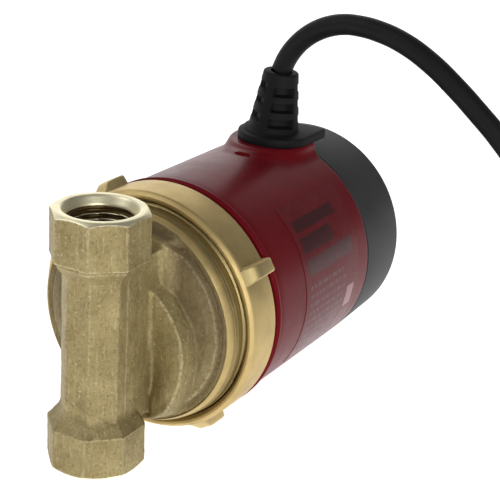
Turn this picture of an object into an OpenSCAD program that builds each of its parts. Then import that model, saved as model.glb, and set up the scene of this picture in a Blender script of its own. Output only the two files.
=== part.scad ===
// Small hot-water circulator pump with a spherical motor and a moulded mains cord.
// The ports stand one above the other on the Z axis; the motor axis runs along +Y.

/* [Ports] */
// Distance between the faces of the two threaded ports
port_to_port = 80; // [80:1:86]
// Radius of the port thread's wall (half-inch pipe thread)
port_thread_r = 10.5; // [10.3:0.1:10.7]
// Depth of the port thread
port_thread_depth = 12; // [10:0.5:13]
// Width across the flats of the octagonal port collars
collar_flats = 28; // [27:0.5:29]
// Height of the flats on each collar
collar_height = 13.6; // [13:0.2:15]
// Width across the flats of the tube between the collars
tube_flats = 20.6; // [20:0.2:21]

/* [Pump housing] */
// Radius of the male thread that carries the union nut
spigot_r = 35.5; // [35.3:0.1:35.5]
// Front wall of the pump chamber, outside
bowl_front_y = 16.5; // [16:0.5:16.5]
// Radius of the pump chamber
chamber_r = 30.2; // [29.8:0.1:30.4]

/* [Union nut] */
// Outer radius of the union nut
nut_r = 38.9; // [38.5:0.1:39]
// Radius over the spanner lugs
lug_r = 42; // [41.5:0.1:42.5]
// Width of a spanner lug
lug_width = 5; // [4:0.5:6]

/* [Motor] */
// Outer radius of the motor housing
can_r = 38.2; // [38.2:0.1:38.6]
// Rear rim of the motor housing
can_rear_y = 105.4; // [105.4:0.1:106]
// Rear face of the end cap
cap_rear_y = 133; // [130:1:136]
// Length of the ribbed strain relief boot
boot_length = 21; // [20:0.5:24]

/* [Cord] */
// Diameter of the round mains cord
cord_d = 7; // [6.8:0.1:7.2]

/* [Hidden] */
$fn = 96;
over = 1;                      // how far a cutting solid runs past what it cuts

axis_z = port_to_port / 2;     // height of the motor axis
passage_r = 6.5;               // bore of the upright water passages
eye_r = 5.9;                   // bore of the passages into the pump chamber
shoulder_h = 4.6;              // height of the cone between a collar and the tube
web_half_w = 9.4;              // half width of the casting behind the tube

chamber_front_y = bowl_front_y + 3;
spigot_front_y = 23.4;
spigot_rear_y = 34;
bowl_rim_r = 34.6;
swirl_front_y = 11;            // front of the volute's swirl channel
swirl_start = 66;              // the channel widens clockwise from this angle
swirl_sweep = 140;
swirl_steps = 14;
// Outline of the swirl channel round the motor axis, with Y down
SWIRL = [[0, 0], for (i = [0:swirl_steps])
                     let (a = swirl_start - swirl_sweep * i / swirl_steps, r = 17 + 13 * i / swirl_steps)
                         [r * cos(a), -r * sin(a)]];
delivery_r = 23;               // distance of the delivery passage from the motor axis
o_ring_r = 32.4;
o_ring_section_r = 0.8;

nut_front_y = 25;
nut_lip_y = 36.3;
nut_rear_y = 39;
nut_bore_r = spigot_r + 0.3;
nut_lip_r = 33.8;

sphere_y = 36;                 // centre of the spherical air gap
cup_r = 22.6;                  // inner radius of the separator cup
cup_wall = 0.8;
cup_flange_r = 34.9;
cup_flange_h = 0.8;
cup_pole_y = sphere_y + cup_r;
post_r = 2.2;
ball_r = 2.6;
ball_y = 37;
seat_r = ball_r + 0.05;        // spherical seats that hold the ball

magnet_r = 22;
magnet_inner_r = 16;
core_inner_r = 12.5;
rotor_hole_r = 7;
rotor_face_y = 36.4;
race_r = 5;
race_front_y = 31;
disc_front_y = 33.2;
impeller_r = 21.8;
vane_front_y = 23;
vane_count = 7;
shroud_front_y = 21.5;

pole_count = 6;
pole_w = 9;
pole_front_y = 46;
pole_rear_y = 58;
yoke_r = 34.6;
yoke_inner_r = 30;
yoke_front_y = 44.2;
yoke_rear_y = 64;
air_gap_r = 24;                // spherical face of the poles
winding_inner_r = 25.2;
bobbin_wall = 1;
winding_h = 2.6;

can_wall = 2.2;
can_inner_r = can_r - can_wall;
can_front_y = 40.6;
can_bead_r = 39;
can_neck_r = 33.4;
can_neck_inner_r = 30.5;
can_flange_r = 35.2;
boss_y = 101;                  // centre line of the cable entry
boss_r = 14.6;
boss_top_z = axis_z + 39.2;
entry_r = 4.3;                 // neck of the strain relief inside its slot

carrier_y = 65;
carrier_h = 2;
board_y = 72;
board_h = 1.6;
board_rear_y = board_y + board_h;
board_w = 50;
board_tall = 48;
board_hole_x = 20;
board_hole_z = 19;
lead_r = 1.1;
lead_bend = 6;
lead_pitch = 3.2;
terminal_rear_y = 84;
terminal_z = axis_z + 14;

plate_r = 13;                  // front radius of the strain relief's plate
plate_x = 1;                   // middle of the plate, right of the motor axis
plate_h = 3.2;
plate_rear_y = can_rear_y + 0.6;
boot_base_r = 8.8;
boot_tip_r = 5.6;
boot_lean = 4.6;               // degrees towards +X
boot_base_z = boss_top_z + plate_h;

cord_r = cord_d / 2;
coil_x = 160;
coil_y = 76.5;
coil_r = 38;                   // middle of the turns
coil_columns = 2;
coil_layers = 3;
coil_half_w = coil_columns * cord_r;
coil_h = coil_layers * cord_d;
plug_x = 193;
plug_z = 11;
plug_front_y = -24;
plug_rear_y = 8;
plug_half_w = 12.5;

// Middle of the cord from the boot's tip to the coil
CORD_ROUTE = [[1.7, 101, 103.5], [3.61, 101, 107.99], [6.27, 101, 112.09], [9.59, 101, 115.66],
              [13.91, 101, 118.85], [18.75, 101, 121.16], [23.95, 101, 122.5],
              [28.5, 100.8, 122.85], [36, 100, 122.5], [46, 99.2, 120.2], [56, 98.6, 115.6],
              [65, 98, 109.8], [74, 97.5, 103], [82.5, 97, 96], [90.49, 97.29, 87.16],
              [96.96, 97.94, 74.46], [101.9, 98.69, 53.46], [105.34, 99.35, 37.77],
              [108.27, 100, 26.32], [111.66, 100.86, 19.6], [116.46, 102.27, 13.6],
              [122.59, 104.41, 8.62], [130.41, 107.75, 4.92]];
// Middle of the cord from the coil to the plug
TAIL_ROUTE = [[201.3, 62, 9.8], [199.8, 52, 8.8], [197.3, 43, 8.9], [194.7, 34, 10], [193.2, 25, 11]];

function unit(v) = v / norm(v);
function tangent(path, i) =
    unit(path[min(i + 1, len(path) - 1)] - path[max(i - 1, 0)]);
function side(t, across) = unit(cross(t, across));
function ring_point(p, t, across, angle, r) =
    p + r * (cos(angle) * side(t, across) + sin(angle) * cross(side(t, across), t));

// Round tube swept along a list of points; across is a direction that the path never takes
module tube_along(path, r, across, sides = 10) {
    n = len(path);
    points = [for (i = [0:n - 1]) for (k = [0:sides - 1])
                 ring_point(path[i], tangent(path, i), across, 360 * k / sides, r)];
    walls = [for (i = [0:n - 2]) for (k = [0:sides - 1])
                [i * sides + k, i * sides + (k + 1) % sides,
                 (i + 1) * sides + (k + 1) % sides, (i + 1) * sides + k]];
    first = [for (k = [sides - 1:-1:0]) k];
    last = [for (k = [0:sides - 1]) (n - 1) * sides + k];
    polyhedron(points, concat([first], walls, [last]));
}

// Children drawn along +Z stand on the motor axis, starting at y
module on_axis(y = 0) {
    translate([0, y, axis_z]) rotate([-90, 0, 0]) children();
}

// Children drawn with X as the radius and Y along the motor axis, turned from +X to +Z
module at_angle(a) {
    translate([0, 0, axis_z]) rotate([0, -a, 0]) children();
}

module disc(r, y0, y1) {
    on_axis(y0) cylinder(r = r, h = y1 - y0);
}

module ring(r_in, r_out, y0, y1) {
    difference() {
        disc(r_out, y0, y1);
        disc(r_in, y0 - over, y1 + over);
    }
}

// Solid of revolution from a list of [radius, y]
module turned(outline) {
    on_axis() rotate_extrude() polygon(outline);
}

module ball_at(r, y) {
    translate([0, y, axis_z]) sphere(r = r);
}

module box(x0, x1, y0, y1, z0, z1) {
    translate([x0, y0, z0]) cube([x1 - x0, y1 - y0, z1 - z0]);
}

// Everything behind the plane y
module behind(y) {
    box(-50, 50, y, y + 60, axis_z - 50, axis_z + 50);
}

module octagon(flats, h) {
    rotate(22.5) cylinder(r = flats / 2 / cos(22.5), h = h, $fn = 8);
}

/* ---- wet end ---- */

module port_collar() {
    octagon(collar_flats, collar_height);
    translate([0, 0, collar_height])
        cylinder(r1 = collar_flats / 2 - 0.4, r2 = tube_flats / 2 + 0.9, h = shoulder_h);
}

module port_bore() {
    translate([0, 0, -over]) cylinder(r = port_thread_r, h = port_thread_depth + over);
}

module housing_bowl() {
    turned([[0, 11.5], [13, 11.5], [18, 14], [25, bowl_front_y - 0.6], [29, bowl_front_y + 0.4],
            [31.4, 18.6], [33.4, 19.4], [bowl_rim_r, 20.8], [bowl_rim_r, spigot_front_y],
            [spigot_r, spigot_front_y], [spigot_r, spigot_rear_y], [0, spigot_rear_y]]);
    on_axis(swirl_front_y) linear_extrude(bowl_front_y + 1 - swirl_front_y) polygon(SWIRL);
}

module pump_housing() {
    color([0.56, 0.49, 0.31]) difference() {
        union() {
            port_collar();
            translate([0, 0, port_to_port]) mirror([0, 0, 1]) port_collar();
            // the tube starts inside the collars, so that its ends share no plane with the ports
            translate([0, 0, over]) octagon(tube_flats, port_to_port - 2 * over);
            box(-web_half_w, web_half_w, 0, bowl_front_y, 15, port_to_port - 15);
            housing_bowl();
        }
        port_bore();
        translate([0, 0, port_to_port]) mirror([0, 0, 1]) port_bore();
        // suction passage, from the upper port to the eye
        translate([0, 0, axis_z - passage_r]) cylinder(r = passage_r, h = axis_z);
        disc(eye_r, 0, chamber_front_y + over);
        // delivery passage, from the chamber to the lower port
        cylinder(r = passage_r, h = axis_z - delivery_r + passage_r);
        translate([0, 0, -delivery_r]) disc(eye_r, 0, chamber_front_y + over);
        // pump chamber and the seal groove behind it
        disc(chamber_r, chamber_front_y, spigot_rear_y + over);
        ring(o_ring_r - 1, o_ring_r + 1, spigot_rear_y - 2 * o_ring_section_r, spigot_rear_y + over);
    }
}

module housing_o_ring() {
    color([0.05, 0.05, 0.05]) on_axis(spigot_rear_y - o_ring_section_r)
        rotate_extrude() translate([o_ring_r, 0]) circle(r = o_ring_section_r - 0.02);
}

module separator_cup() {
    color([0.72, 0.73, 0.74]) difference() {
        union() {
            disc(cup_flange_r, spigot_rear_y, spigot_rear_y + cup_flange_h);
            disc(cup_r + cup_wall, spigot_rear_y, sphere_y);
            intersection() {
                ball_at(cup_r + cup_wall, sphere_y);
                behind(sphere_y);
            }
        }
        ball_at(cup_r, sphere_y);
        disc(cup_r, spigot_rear_y - over, sphere_y);
    }
}

module bearing_post() {
    color([0.7, 0.71, 0.72]) difference() {
        union() {
            disc(post_r, ball_y + 1, cup_pole_y - 0.2);
            disc(post_r + 1.8, cup_pole_y - 2.6, cup_pole_y - 0.5);
        }
        ball_at(seat_r, ball_y);
    }
}

module bearing_ball() {
    color([0.93, 0.92, 0.88]) ball_at(ball_r, ball_y);
}

/* ---- rotor ---- */

module bearing_race() {
    color([0.25, 0.25, 0.26]) difference() {
        disc(race_r, race_front_y, ball_y);
        ball_at(seat_r, ball_y);
    }
}

module rotor_shell(r_out, r_in) {
    intersection() {
        difference() {
            ball_at(r_out, sphere_y);
            ball_at(r_in, sphere_y);
            disc(rotor_hole_r, sphere_y - over, sphere_y + r_out + over);
        }
        behind(rotor_face_y);
    }
}

module rotor_magnet() {
    color([0.22, 0.22, 0.24]) rotor_shell(magnet_r, magnet_inner_r);
}

module rotor_core() {
    color([0.45, 0.46, 0.48]) rotor_shell(magnet_inner_r - 0.05, core_inner_r);
}

// One backward-curved vane, an arc of a thin drum
module vane() {
    translate([12, 8, 0]) rotate(33.7 + 52)
        rotate_extrude(angle = 96) translate([8.3, 0]) square([1.4, disc_front_y - vane_front_y]);
}

module impeller() {
    color([0.86, 0.84, 0.78]) difference() {
        union() {
            disc(impeller_r, disc_front_y, rotor_face_y - 0.1);
            disc(race_r + 2, race_front_y - 3, disc_front_y);
            for (i = [0:vane_count - 1])
                on_axis(vane_front_y) rotate(360 * i / vane_count) vane();
        }
        disc(race_r + 0.02, race_front_y - 0.02, sphere_y + over);
    }
}

module impeller_shroud() {
    color([0.86, 0.84, 0.78]) difference() {
        union() {
            disc(impeller_r, shroud_front_y, vane_front_y - 0.02);
            disc(9.2, chamber_front_y + 0.5, shroud_front_y);
        }
        disc(8, chamber_front_y, vane_front_y + over);
    }
}

/* ---- union nut ---- */

module union_nut() {
    color([0.68, 0.6, 0.4]) {
        turned([[nut_bore_r + 0.6, nut_front_y], [nut_r - 1.2, nut_front_y],
                [nut_r, nut_front_y + 1.2], [nut_r, nut_rear_y - 0.6], [nut_r - 0.6, nut_rear_y],
                [nut_lip_r, nut_rear_y], [nut_lip_r, nut_lip_y], [nut_bore_r, nut_lip_y],
                [nut_bore_r, nut_front_y + 0.6]]);
        for (i = [0:3])
            at_angle(30 + 90 * i) translate([0, 0, -lug_width / 2])
                linear_extrude(lug_width)
                    polygon([[nut_r - 1.3, nut_front_y + 1], [nut_r - 0.6, nut_front_y + 1],
                             [lug_r, nut_front_y + 4.6], [lug_r, nut_rear_y - 0.5],
                             [lug_r - 0.5, nut_rear_y], [nut_r - 1.3, nut_rear_y]]);
    }
}

/* ---- stator ---- */

// Children at each pole, with X pointing outwards
module at_poles() {
    for (i = [0:pole_count - 1]) at_angle(360 * i / pole_count) children();
}

module stator_core() {
    color([0.4, 0.41, 0.43]) difference() {
        union() {
            ring(yoke_inner_r, yoke_r, yoke_front_y, yoke_rear_y);
            at_poles() box(13, yoke_inner_r + 1, pole_front_y, pole_rear_y, -pole_w / 2, pole_w / 2);
        }
        ball_at(air_gap_r, sphere_y);
        disc(9, pole_front_y - over, pole_rear_y + over);
    }
}

// Square frame round a pole, wall by wall outwards from grow
module pole_frame(grow, wall, r0, r1) {
    inner = pole_w / 2 + grow;
    outer = inner + wall;
    difference() {
        box(r0, r1, pole_front_y - grow - wall, pole_rear_y + grow + wall, -outer, outer);
        box(r0 - over, r1 + over, pole_front_y - grow, pole_rear_y + grow, -inner, inner);
    }
}

module coil_bobbins() {
    color([0.85, 0.83, 0.74]) at_poles()
        pole_frame(0.05, bobbin_wall - 0.1, winding_inner_r, yoke_inner_r - 0.8);
}

module stator_coils() {
    color([0.68, 0.34, 0.14]) at_poles()
        pole_frame(bobbin_wall, winding_h - bobbin_wall, winding_inner_r + 0.4, yoke_inner_r - 1.2);
}

/* ---- electronics ---- */

// Children at the four board screws, drawn along +Z
module at_board_screws(y) {
    for (x = [-board_hole_x, board_hole_x], z = [-board_hole_z, board_hole_z])
        translate([x, 0, z]) on_axis(y) children();
}

module board_carrier() {
    color([0.8, 0.78, 0.7]) difference() {
        union() {
            disc(can_inner_r - 0.4, carrier_y, carrier_y + carrier_h);
            at_board_screws(carrier_y) cylinder(r = 3, h = board_y - carrier_y);
        }
        at_board_screws(carrier_y + carrier_h) cylinder(r = 1.25, h = 10);
    }
}

module control_board() {
    color([0.1, 0.36, 0.2]) difference() {
        box(-board_w / 2, board_w / 2, board_y, board_rear_y,
            axis_z - board_tall / 2, axis_z + board_tall / 2);
        at_board_screws(board_y - over) cylinder(r = 1.6, h = board_h + 2 * over);
    }
}

module board_screws() {
    color([0.7, 0.7, 0.72]) at_board_screws(carrier_y + carrier_h + 0.5) {
        cylinder(r = 1.2, h = board_rear_y - carrier_y - carrier_h);
        translate([0, 0, board_rear_y - carrier_y - carrier_h - 0.45]) cylinder(r = 2.4, h = 1.4);
    }
}

module board_capacitor() {
    color([0.16, 0.18, 0.24]) translate([-13, 0, -7]) disc(6.5, board_rear_y, board_rear_y + 20);
}

module board_choke() {
    color([0.62, 0.36, 0.16]) translate([13, 0, -9])
        on_axis(board_rear_y + 4.2) rotate_extrude() translate([6.5, 0]) circle(r = 4.1, $fn = 32);
}

module board_chips() {
    color([0.08, 0.08, 0.09]) for (x = [-2, 8])
        box(x, x + 7, board_rear_y, board_rear_y + 2.2, axis_z + 2.2, axis_z + 8.6);
}

module terminal_block() {
    color([0.82, 0.82, 0.78]) difference() {
        box(-8, 8, board_rear_y, terminal_rear_y, terminal_z - 5, terminal_z + 5);
        for (i = [-1:1]) translate([i * lead_pitch, 0, terminal_z - axis_z])
            disc(lead_r + 0.1, terminal_rear_y - 3, terminal_rear_y + over);
    }
}

// One insulated lead, down from the cable entry and forward into the terminal block
module inner_lead(slot) {
    top_z = axis_z + 31.9;
    translate([slot * lead_pitch, 0, 0]) {
        translate([0, boss_y, terminal_z + lead_bend])
            cylinder(r = lead_r, h = top_z - terminal_z - lead_bend);
        translate([0, boss_y - lead_bend, terminal_z + lead_bend])
            rotate([90, 0, 90]) rotate([0, 0, -90]) rotate_extrude(angle = 90)
                translate([lead_bend, 0]) circle(r = lead_r);
        translate([0, 0, terminal_z - axis_z])
            disc(lead_r, terminal_rear_y - 2.8, boss_y - lead_bend);
    }
}

module lead_live() {
    color([0.35, 0.2, 0.1]) inner_lead(-1);
}

module lead_neutral() {
    color([0.12, 0.25, 0.6]) inner_lead(1);
}

module lead_ground() {
    color([0.3, 0.55, 0.15]) inner_lead(0);
}

/* ---- motor housing ---- */

// Plan of the cable entry: a round front that runs straight back to y_end
module entry_plan(r, y_end) {
    translate([0, boss_y]) circle(r = r);
    translate([-r, boss_y]) square([2 * r, y_end - boss_y]);
}

module motor_housing() {
    color([0.34, 0.09, 0.11]) difference() {
        union() {
            turned([[can_neck_inner_r, 34.9], [can_flange_r, 34.9], [can_flange_r, sphere_y],
                    [can_neck_r, sphere_y], [can_neck_r, can_front_y],
                    [can_bead_r - 0.7, can_front_y], [can_bead_r, can_front_y + 0.7],
                    [can_bead_r, can_front_y + 1.6], [can_r, can_front_y + 2.6],
                    [can_r, can_rear_y], [can_inner_r, can_rear_y], [can_inner_r, 43.4],
                    [can_neck_inner_r, 43.4]]);
            intersection() {
                translate([0, 0, axis_z + 30]) linear_extrude(boss_top_z - axis_z - 30)
                    entry_plan(boss_r, can_rear_y);
                ring(can_inner_r, can_r + 12, 80, can_rear_y);
            }
        }
        translate([0, 0, axis_z + 30]) linear_extrude(20) entry_plan(entry_r + 0.3, can_rear_y + over);
    }
}

module rating_label() {
    color([0.5, 0.32, 0.33]) on_axis(60) rotate(-50) rotate_extrude(angle = 85)
        translate([can_r + 0.02, 0]) square([0.12, 38]);
}

module end_cap() {
    color([0.2, 0.2, 0.21]) difference() {
        turned([[can_inner_r - 2.4, 97], [can_inner_r - 0.4, 97], [can_inner_r - 0.4, can_rear_y + 0.5],
                [can_r, can_rear_y + 0.5], [can_r - 0.7, cap_rear_y - 2],
                [can_r - 1.3, cap_rear_y - 0.8], [can_r - 2.6, cap_rear_y], [0, cap_rear_y],
                [0, cap_rear_y - 2.4], [can_inner_r - 3.8, cap_rear_y - 2.4],
                [can_inner_r - 2.4, cap_rear_y - 3.8]]);
        box(-9.5, 9.5, 96, can_rear_y + 0.4, axis_z + 20, axis_z + 40);
        box(-7.6, 7.6, can_rear_y, boss_y + 8, axis_z + 30, axis_z + can_inner_r - 0.3);
    }
}

module end_cap_gasket() {
    color([0.04, 0.04, 0.04]) ring(can_inner_r + 0.1, can_r - 0.4, can_rear_y, can_rear_y + 0.5);
}

/* ---- cord ---- */

module strain_relief() {
    color([0.06, 0.06, 0.06]) {
        translate([0, 0, axis_z + 34.8]) linear_extrude(boss_top_z - axis_z - 34.8)
            entry_plan(entry_r, boss_y + 0.1);
        translate([0, boss_y, axis_z + 32]) cylinder(r = 7, h = 2.8);
        translate([plate_x, 0, boss_top_z]) linear_extrude(plate_h) entry_plan(plate_r, plate_rear_y);
        translate([0, boss_y, boot_base_z]) rotate([0, boot_lean, 0]) boot();
    }
}

// Tapered ribbed boot, along +Z
module boot() {
    ribs = 4;
    pitch = boot_length / ribs;
    slope = (boot_base_r - boot_tip_r) / boot_length;
    translate([0, 0, -1]) cylinder(r1 = boot_base_r - 0.9, r2 = boot_tip_r - 0.3, h = boot_length + 1);
    for (i = [0:ribs - 1])
        translate([0, 0, i * pitch])
            cylinder(r1 = boot_base_r - i * pitch * slope,
                     r2 = boot_base_r - (i * pitch + pitch / 2) * slope, h = pitch / 2);
    translate([0, 0, boot_length - 1.6]) cylinder(r = boot_tip_r, h = 1.6);
}

module power_cord() {
    color([0.07, 0.07, 0.07]) tube_along(CORD_ROUTE, cord_r, [0, 1, 0]);
}

module cord_coil() {
    color([0.07, 0.07, 0.07]) translate([coil_x, coil_y, 0])
        rotate_extrude() translate([coil_r - coil_half_w, 0]) square([2 * coil_half_w, coil_h]);
}

module cord_tie() {
    wall = 1;
    gap = 0.4;
    inner = coil_half_w + gap;
    color([0.1, 0.1, 0.1]) translate([coil_x, coil_y - coil_r, 0]) difference() {
        box(-4, 4, -inner - wall, inner + wall, 0, coil_h + gap + wall);
        box(-5, 5, -inner, inner, -over, coil_h + gap);
    }
}

module cord_tail() {
    color([0.07, 0.07, 0.07]) tube_along(TAIL_ROUTE, cord_r, [0, 0, 1]);
}

module plug_body() {
    color([0.07, 0.07, 0.07]) difference() {
        union() {
            box(plug_x - plug_half_w, plug_x + plug_half_w, plug_front_y, plug_rear_y, 0, 2 * plug_z);
            translate([plug_x, plug_rear_y - over, plug_z]) rotate([-90, 0, 0])
                cylinder(r1 = 7.4, r2 = 5, h = 18);
        }
        for (s = [-1, 1]) box(plug_x + s * 6.35 - 0.8, plug_x + s * 6.35 + 0.8,
                              plug_front_y - over, plug_front_y + 6, plug_z, plug_z + 6.4);
        translate([plug_x, plug_front_y + 6, plug_z - 5]) rotate([90, 0, 0]) cylinder(r = 2.45, h = 8);
    }
}

module plug_blades() {
    color([0.72, 0.66, 0.45]) for (s = [-1, 1])
        box(plug_x + s * 6.35 - 0.75, plug_x + s * 6.35 + 0.75,
            plug_front_y - 17.5, plug_front_y + 5.9, plug_z + 0.05, plug_z + 6.35);
}

module plug_ground_pin() {
    color([0.72, 0.66, 0.45]) translate([plug_x, plug_front_y + 5.9, plug_z - 5])
        rotate([90, 0, 0]) cylinder(r = 2.4, h = 26);
}

pump_housing();
housing_o_ring();
separator_cup();
bearing_post();
bearing_ball();
bearing_race();
rotor_magnet();
rotor_core();
impeller();
impeller_shroud();
union_nut();
stator_core();
coil_bobbins();
stator_coils();
board_carrier();
motor_housing();
control_board();
board_capacitor();
board_choke();
board_chips();
terminal_block();
board_screws();
lead_live();
lead_neutral();
lead_ground();
rating_label();
end_cap();
end_cap_gasket();
strain_relief();
power_cord();
cord_coil();
cord_tie();
cord_tail();
plug_body();
plug_blades();
plug_ground_pin();
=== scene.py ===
"""Looks of a small circulator pump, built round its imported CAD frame.

Every length here is in millimetres until a mesh or curve is made from it.
X points right, Y runs along the motor axis to its rear and Z goes up from the lower port.
"""
import math

import bmesh
import bpy
import numpy as np
from mathutils import Matrix, Vector


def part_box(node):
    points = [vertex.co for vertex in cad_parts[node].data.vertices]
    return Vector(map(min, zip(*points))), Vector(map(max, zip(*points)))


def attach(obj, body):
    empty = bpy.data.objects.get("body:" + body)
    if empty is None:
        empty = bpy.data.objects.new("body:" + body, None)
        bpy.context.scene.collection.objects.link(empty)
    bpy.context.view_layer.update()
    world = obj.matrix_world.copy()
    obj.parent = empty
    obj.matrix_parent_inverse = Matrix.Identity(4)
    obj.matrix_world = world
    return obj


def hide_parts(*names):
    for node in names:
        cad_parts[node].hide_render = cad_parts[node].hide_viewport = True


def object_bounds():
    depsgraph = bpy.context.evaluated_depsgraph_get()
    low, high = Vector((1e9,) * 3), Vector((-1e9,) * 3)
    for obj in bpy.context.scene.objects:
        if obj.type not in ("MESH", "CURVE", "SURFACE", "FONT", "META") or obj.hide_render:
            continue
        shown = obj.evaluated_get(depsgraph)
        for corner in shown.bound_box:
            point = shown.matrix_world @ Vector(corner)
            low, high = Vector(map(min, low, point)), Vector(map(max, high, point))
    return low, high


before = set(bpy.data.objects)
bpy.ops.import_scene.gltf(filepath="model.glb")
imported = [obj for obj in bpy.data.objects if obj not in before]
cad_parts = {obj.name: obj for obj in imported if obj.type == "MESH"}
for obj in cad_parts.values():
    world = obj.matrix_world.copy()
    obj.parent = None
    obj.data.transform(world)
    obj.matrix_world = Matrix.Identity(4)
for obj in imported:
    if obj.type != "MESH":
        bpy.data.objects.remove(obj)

MM = 0.001
cad_box = [list(corner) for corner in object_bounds()]


def cad(node):
    """Lowest and highest corner of a CAD node, in millimetres."""
    low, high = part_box(node)
    return np.array(low) / MM, np.array(high) / MM


CAP_LOW, CAP_HIGH = cad("end_cap")
NUT_LOW, NUT_HIGH = cad("union_nut")
RELIEF_LOW, RELIEF_HIGH = cad("strain_relief")
LABEL_LOW, LABEL_HIGH = cad("rating_label")
COIL_LOW, COIL_HIGH = cad("cord_coil")
TIE_LOW, TIE_HIGH = cad("cord_tie")
PLUG_LOW, PLUG_HIGH = cad("plug_body")

AXIS_Z = (CAP_LOW[2] + CAP_HIGH[2]) / 2
CAN_R = CAP_HIGH[0]
CAP_REAR_Y = CAP_HIGH[1]
SEAM_Y = cad("end_cap_gasket")[0][1]
PORT_TOP = cad("pump_housing")[1][2]
BOSS_TOP = cad("motor_housing")[1][2]


# ---------------------------------------------------------------- camera

def place_camera():
    """A long lens, a little above the pump and to its right."""
    azimuth, elevation, roll = math.radians(28.82), math.radians(20.98), math.radians(3.62)
    distance, lens = 416.66, 99.77
    target = Vector((30.22, 35.0, AXIS_Z + 24.96))
    back = Vector((math.sin(azimuth) * math.cos(elevation),
                   -math.cos(azimuth) * math.cos(elevation),
                   math.sin(elevation)))
    level = Vector((math.cos(azimuth), math.sin(azimuth), 0))
    rise = back.cross(level)
    right = math.cos(roll) * level + math.sin(roll) * rise
    up = back.cross(right)
    data = bpy.data.cameras.new("camera")
    data.lens, data.sensor_width = lens, 36
    data.clip_start, data.clip_end = 0.01, 30
    camera = bpy.data.objects.new("camera", data)
    rotation = Matrix((right, up, back)).transposed().to_4x4()
    camera.matrix_world = Matrix.Translation((target + back * distance) * MM) @ rotation
    bpy.context.scene.collection.objects.link(camera)
    bpy.context.scene.camera = camera


place_camera()


# ---------------------------------------------------------------- shapes

def smoothstep(t):
    t = np.clip(t, 0, 1)
    return t * t * (3 - 2 * t)


def smooth_min(a, b, k):
    """Smaller of two fields, with a fillet about k wide where they meet."""
    h = np.clip(0.5 + 0.5 * (b - a) / k, 0, 1)
    return b + (a - b) * h - k * h * (1 - h)


def smooth_max(a, b, k):
    return -smooth_min(-a, -b, k)


def triangle_wave(t):
    """0 at whole numbers and 1 halfway between them."""
    return 1 - np.abs(2 * (t - np.floor(t)) - 1)


def waves(points, scale, seed):
    """Smooth unevenness between about -1 and 1, from a few crossing sine waves."""
    rng = np.random.default_rng(seed)
    total = np.zeros(points.shape[:-1])
    for _ in range(9):
        direction = rng.normal(size=3)
        direction *= rng.uniform(0.6, 1.7) / np.linalg.norm(direction) / scale * 2 * math.pi
        total += np.sin(points @ direction + rng.uniform(0, 2 * math.pi))
    return total / 4.5


def filleted(corners, steps=4):
    """Closed outline from (r, y) or (r, y, radius) corners, with round corners as points."""
    out = []
    count = len(corners)
    for i, corner in enumerate(corners):
        here = np.array(corner[:2], float)
        radius = corner[2] if len(corner) > 2 else 0
        if radius <= 0:
            out.append(here)
            continue
        before = np.array(corners[i - 1][:2], float) - here
        after = np.array(corners[(i + 1) % count][:2], float) - here
        room = 0.49 * min(np.linalg.norm(before), np.linalg.norm(after))
        before /= np.linalg.norm(before)
        after /= np.linalg.norm(after)
        angle = math.acos(float(np.clip(before @ after, -1, 1)))
        reach = min(room, radius / math.tan(angle / 2))
        for step in range(steps + 1):
            t = step / steps
            out.append(here + before * reach * (1 - t) ** 2 + after * reach * t ** 2)
    return np.array(out)


def around(outline, segments=160):
    """Grid of points, an (r, y) outline turned round the motor axis."""
    angle = np.arange(segments) / segments * 2 * math.pi
    radius, y = outline[:, 0], outline[:, 1]
    return np.stack([np.cos(angle)[:, None] * radius,
                     np.broadcast_to(y, (segments, len(y))),
                     AXIS_Z + np.sin(angle)[:, None] * radius], -1)


def grid_faces(rows, columns, wrap_rows=True, wrap_columns=True):
    i = np.arange(rows if wrap_rows else rows - 1)[:, None]
    j = np.arange(columns if wrap_columns else columns - 1)[None, :]
    corners = [(i, j), (i + 1, j), (i + 1, j + 1), (i, j + 1)]
    return np.stack([(a % rows) * columns + b % columns for a, b in corners], -1).reshape(-1, 4)


class Mesh:
    """Vertices and faces gathered from several closed shapes, each with a material number."""

    def __init__(self):
        self.points, self.faces, self.numbers, self.count = [], [], [], 0

    def add(self, points, faces, number=0):
        points = np.asarray(points, float).reshape(-1, 3)
        self.points.append(points)
        self.faces += (np.asarray(faces) + self.count).tolist()
        number = np.broadcast_to(number, len(faces))
        self.numbers.append(np.array(number))
        self.count += len(points)

    def add_grid(self, grid, number=0, wrap_columns=True):
        """A grid whose rows run round; open columns end in flat caps."""
        rows, columns = grid.shape[:2]
        faces = grid_faces(rows, columns, True, wrap_columns)
        if callable(number):
            number = number(grid.reshape(-1, 3)[faces].mean(1))
        self.add(grid, faces, number)
        if not wrap_columns:
            start = self.count - rows * columns
            ends = [range(start, start + rows * columns, columns),
                    range(start + columns - 1, start + rows * columns, columns)]
            for loop in ends:
                self.faces.append(list(loop))
                self.numbers.append(np.array([self.numbers[-1][-1]]))
        return self

    def build(self, name, body, materials, slot, replaces=(), crease=38, form=None):
        mesh = bpy.data.meshes.new(name)
        points = np.concatenate(self.points)
        mesh.from_pydata((points * MM).tolist(), [], self.faces)
        if form:
            bend = mesh.attributes.new("form", "FLOAT", "POINT")
            bend.data.foreach_set("value", form(points).astype(np.float32))
        mesh.polygons.foreach_set("material_index", np.concatenate(self.numbers).astype(np.int32))
        return finish_piece(mesh, name, body, materials, replaces, crease)


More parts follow.
